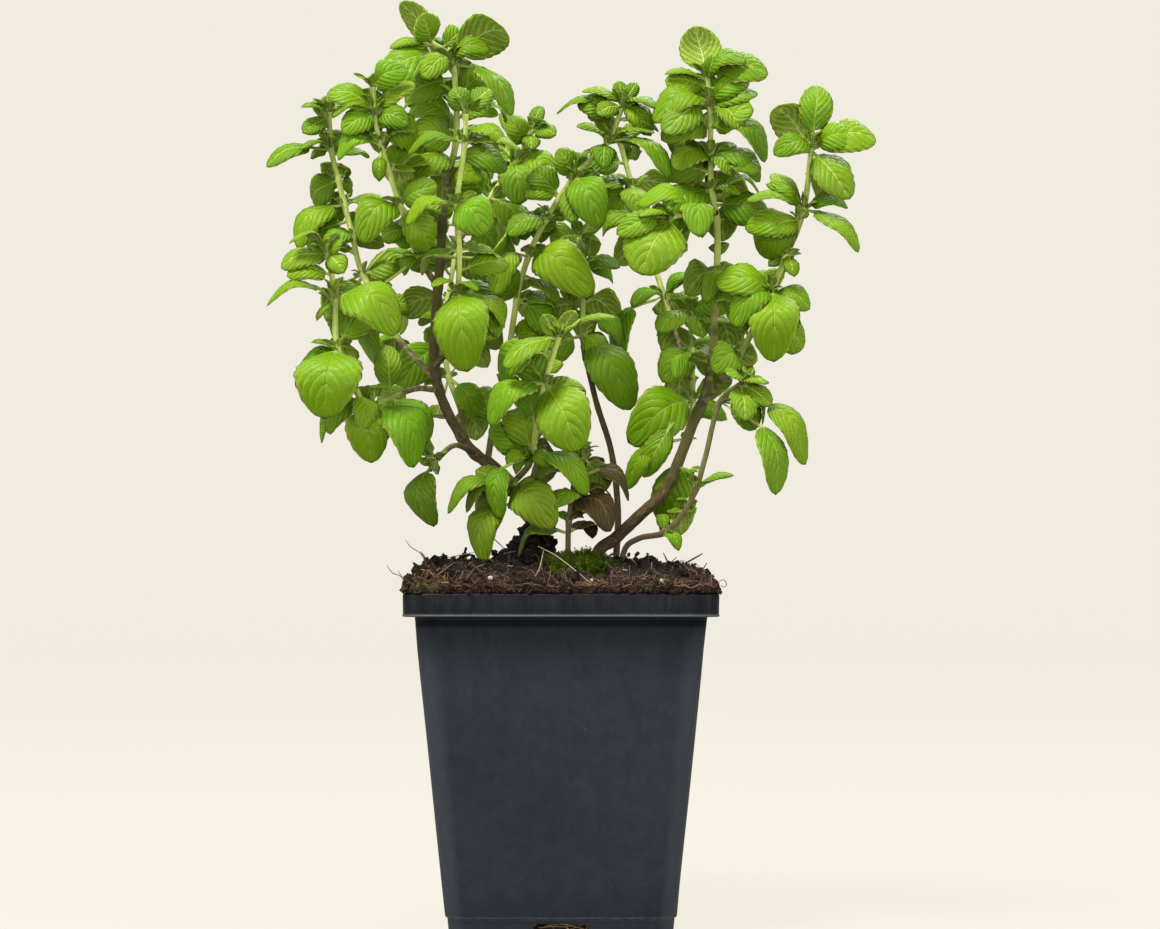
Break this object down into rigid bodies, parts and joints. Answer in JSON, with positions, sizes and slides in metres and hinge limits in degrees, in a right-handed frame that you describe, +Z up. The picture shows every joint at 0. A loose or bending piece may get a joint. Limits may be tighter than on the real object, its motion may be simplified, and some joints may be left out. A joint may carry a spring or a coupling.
{
  "type": "potted calamint",
  "caption": "Young bushy calamint herb with branching woody stems and toothed ovate leaves, growing from a peat root ball in a square tapering nursery pot.",
  "frame": {"origin": "middle of the pot's flat underside", "axes": "+Z up along the pot's middle, +X to the viewer's right, +Y away from the viewer; the pot's sides face X and Y"},
  "size_m": [0.1813, 0.1034, 0.2734],
  "materials": {
    "pot_plastic": "thin blue-black recycled plastic, satin, faint scuffs",
    "peat": "crumbly dark brown peat with pale fibres",
    "moss": "short green moss",
    "woody_stem": "thin brown bark",
    "leaf_young": "fresh green, softly glossy, veined",
    "leaf_old": "dull grey-green lower leaves"
  },
  "bodies": {
    "root": {"pot": "pot_plastic", "soil": "peat", "moss": "moss", "stem_left": "woody_stem", "stem_right": "woody_stem", "stem_middle": "woody_stem", "shoot_left_crown": "leaf_young", "shoot_left_front": "leaf_young", "shoot_far_left": "leaf_young", "shoot_left_inner": "leaf_young", "shoot_lower_left": "leaf_young", "shoot_left_rear": "leaf_young", "shoot_left_back": "leaf_young", "shoot_low_left": "leaf_old", "shoot_stalk_left": "leaf_old", "shoot_centre": "leaf_young", "shoot_middle": "leaf_young", "shoot_middle_back": "leaf_young", "shoot_right_tall": "leaf_young", "shoot_right_outer": "leaf_young", "shoot_right_inner": "leaf_young", "shoot_right_back": "leaf_young", "shoot_right_side": "leaf_young", "shoot_right_low": "leaf_young", "shoot_low_middle": "leaf_old"}
  },
  "joints": []
}
